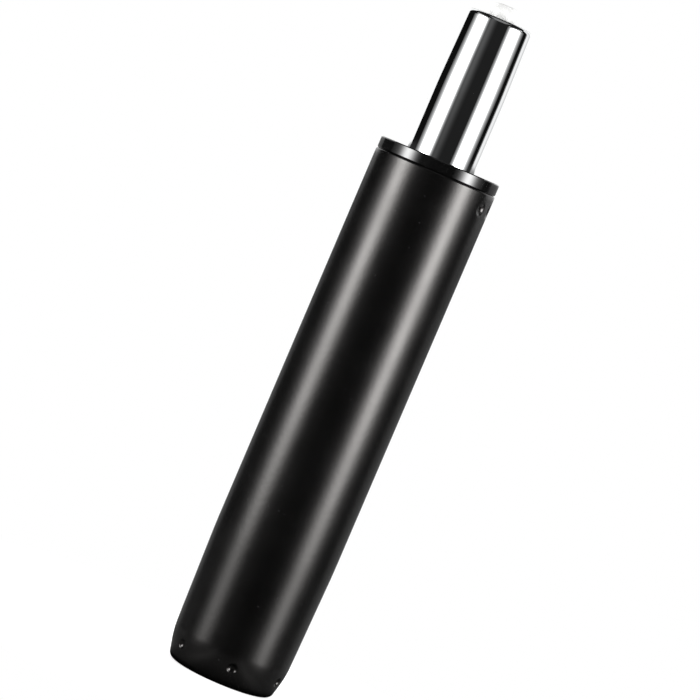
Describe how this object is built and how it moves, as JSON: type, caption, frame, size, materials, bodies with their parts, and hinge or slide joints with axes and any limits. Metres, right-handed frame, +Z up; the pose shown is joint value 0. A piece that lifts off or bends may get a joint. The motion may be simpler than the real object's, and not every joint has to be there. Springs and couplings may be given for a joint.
{
  "type": "chair gas lift cylinder",
  "caption": "Chair gas lift cylinder: black tapered steel column, plastic guide flange, chromed gas tube that slides up and swivels, and a white release button on top.",
  "frame": {"origin": "centre of the column's foot, on the plane of its rolled rim", "axes": "+Z up along the lift axis, towards the release button; -Y faces the picture's camera"},
  "size_m": [0.05, 0.05, 0.2842],
  "materials": {
    "black_paint": "satin black powder coat",
    "black_pom": "moulded black plastic",
    "plated_steel": "zinc-plated steel",
    "bearing_steel": "ground bearing steel",
    "ball_steel": "polished balls",
    "cage_brass": "pressed brass",
    "rod_steel": "ground and hardened rod",
    "spring_steel": "dark phosphated spring steel",
    "black_rubber": "moulded rubber",
    "piston_alloy": "turned",
    "band_plastic": "natural low-friction plastic",
    "tube_chrome": "polished chrome plate",
    "tube_steel": "drawn precision tube",
    "guide_plastic": "grey moulded plastic",
    "valve_plastic": "dark glass-filled plastic",
    "button_plastic": "white moulded plastic"
  },
  "bodies": {
    "column": {"outer_tube": "black_paint", "guide_sleeve": "black_pom", "base_plate": "plated_steel", "lower_race": "bearing_steel"},
    "bearing": {"ball_cage": "cage_brass", "bearing_balls": "ball_steel"},
    "rod": {"upper_race": "bearing_steel", "support_washer": "plated_steel", "rubber_stop": "black_rubber", "piston_rod": "rod_steel", "clip_washer": "plated_steel", "retaining_clip": "spring_steel", "piston_disc": "plated_steel", "piston": "piston_alloy", "piston_seal": "black_rubber", "piston_band": "band_plastic", "piston_nut": "plated_steel"},
    "gas_cylinder": {"pressure_tube": "tube_chrome", "inner_tube": "tube_steel", "seal_disc": "plated_steel", "rod_seal": "black_rubber", "rod_guide": "guide_plastic", "guide_ring": "black_rubber", "valve_body": "valve_plastic", "valve_ring_low": "black_rubber", "valve_ring_high": "black_rubber", "pin_seal_low": "black_rubber", "pin_seal_high": "black_rubber", "seal_spacer": "cage_brass", "valve_bush": "cage_brass"},
    "release": {"valve_pin": "rod_steel", "release_button": "button_plastic"}
  },
  "joints": [
    {"name": "swivel", "type": "hinge", "parent": "column", "child": "rod", "pos_m": [0, 0, 0.0101], "axis": [0, 0, 1], "continuous": true},
    {"name": "cage_spin", "type": "hinge", "parent": "column", "child": "bearing", "pos_m": [0, 0, 0.0101], "axis": [0, 0, 1], "continuous": true},
    {"name": "lift", "type": "slide", "parent": "rod", "child": "gas_cylinder", "axis": [0, 0, 1], "range_m": [0, 0.11]},
    {"name": "button_press", "type": "slide", "parent": "gas_cylinder", "child": "release", "axis": [0, 0, -1], "range_m": [0, 0.0035], "stiffness_N_per_m": 2000, "springref_m": -0.002}
  ],
  "couplings": [
    {"joint": "cage_spin", "follows": "swivel", "ratio": 0.5}
  ]
}
